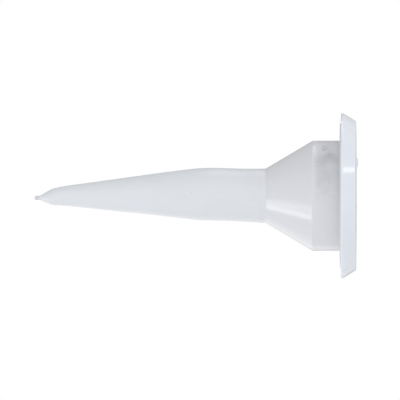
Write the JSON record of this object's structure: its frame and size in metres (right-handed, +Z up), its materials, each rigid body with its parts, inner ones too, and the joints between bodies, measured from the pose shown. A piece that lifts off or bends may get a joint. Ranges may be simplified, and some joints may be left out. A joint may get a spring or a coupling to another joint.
{
  "type": "wall anchor",
  "caption": "Spreading wall anchor: tapered plastic legs opened by a wedge nut on a captive screw, with a flared neck, a sealed flange and a bevelled push-fit cover cap.",
  "frame": {"origin": "on the anchor's axis, in the plane of the wall's face, which is the flange's wall side", "axes": "+X along the axis from the tip towards the cover cap, +Y across the slit between the legs, +Z up along the slit"},
  "size_m": [0.0614, 0.0312, 0.0314],
  "materials": {
    "shell_plastic": "natural translucent polyethylene, soft gloss",
    "cap_plastic": "smooth white, slightly blue",
    "seal": "soft pale rubber",
    "zinc_steel": "bright zinc plated",
    "nut_brass": "turned brass",
    "ring_nylon": "natural nylon"
  },
  "bodies": {
    "anchor_body": {"neck_body": "shell_plastic", "sealing_gasket": "seal", "head_washer": "zinc_steel"},
    "screw": {"fixing_screw": "zinc_steel", "retaining_ring": "ring_nylon"},
    "nut": {"wedge_nut": "nut_brass"},
    "front_leg": {"front_leg": "shell_plastic"},
    "back_leg": {"back_leg": "shell_plastic"},
    "cap": {"cover_cap": "cap_plastic"}
  },
  "joints": [
    {"name": "nut_travel", "type": "slide", "parent": "anchor_body", "child": "nut", "axis": [1, 0, 0], "range_m": [0, 0.0091]},
    {"name": "screw_turn", "type": "hinge", "parent": "anchor_body", "child": "screw", "pos_m": [-0.007, 0, 0], "axis": [-1, 0, 0], "range_deg": [0, 2340]},
    {"name": "front_leg_spread", "type": "hinge", "parent": "anchor_body", "child": "front_leg", "pos_m": [-0.0143, -0.0044, 0], "axis": [0, 0, 1], "range_deg": [0, 5]},
    {"name": "back_leg_spread", "type": "hinge", "parent": "anchor_body", "child": "back_leg", "pos_m": [-0.0143, 0.0044, 0], "axis": [0, 0, -1], "range_deg": [0, 5]},
    {"name": "cap_pull", "type": "slide", "parent": "anchor_body", "child": "cap", "axis": [1, 0, 0], "range_m": [0, 0.008]}
  ],
  "couplings": [
    {"joint": "screw_turn", "follows": "nut_travel", "rad_per_m": 4488},
    {"joint": "front_leg_spread", "follows": "nut_travel", "rad_per_m": 9.5897},
    {"joint": "back_leg_spread", "follows": "nut_travel", "rad_per_m": 9.5897}
  ]
}
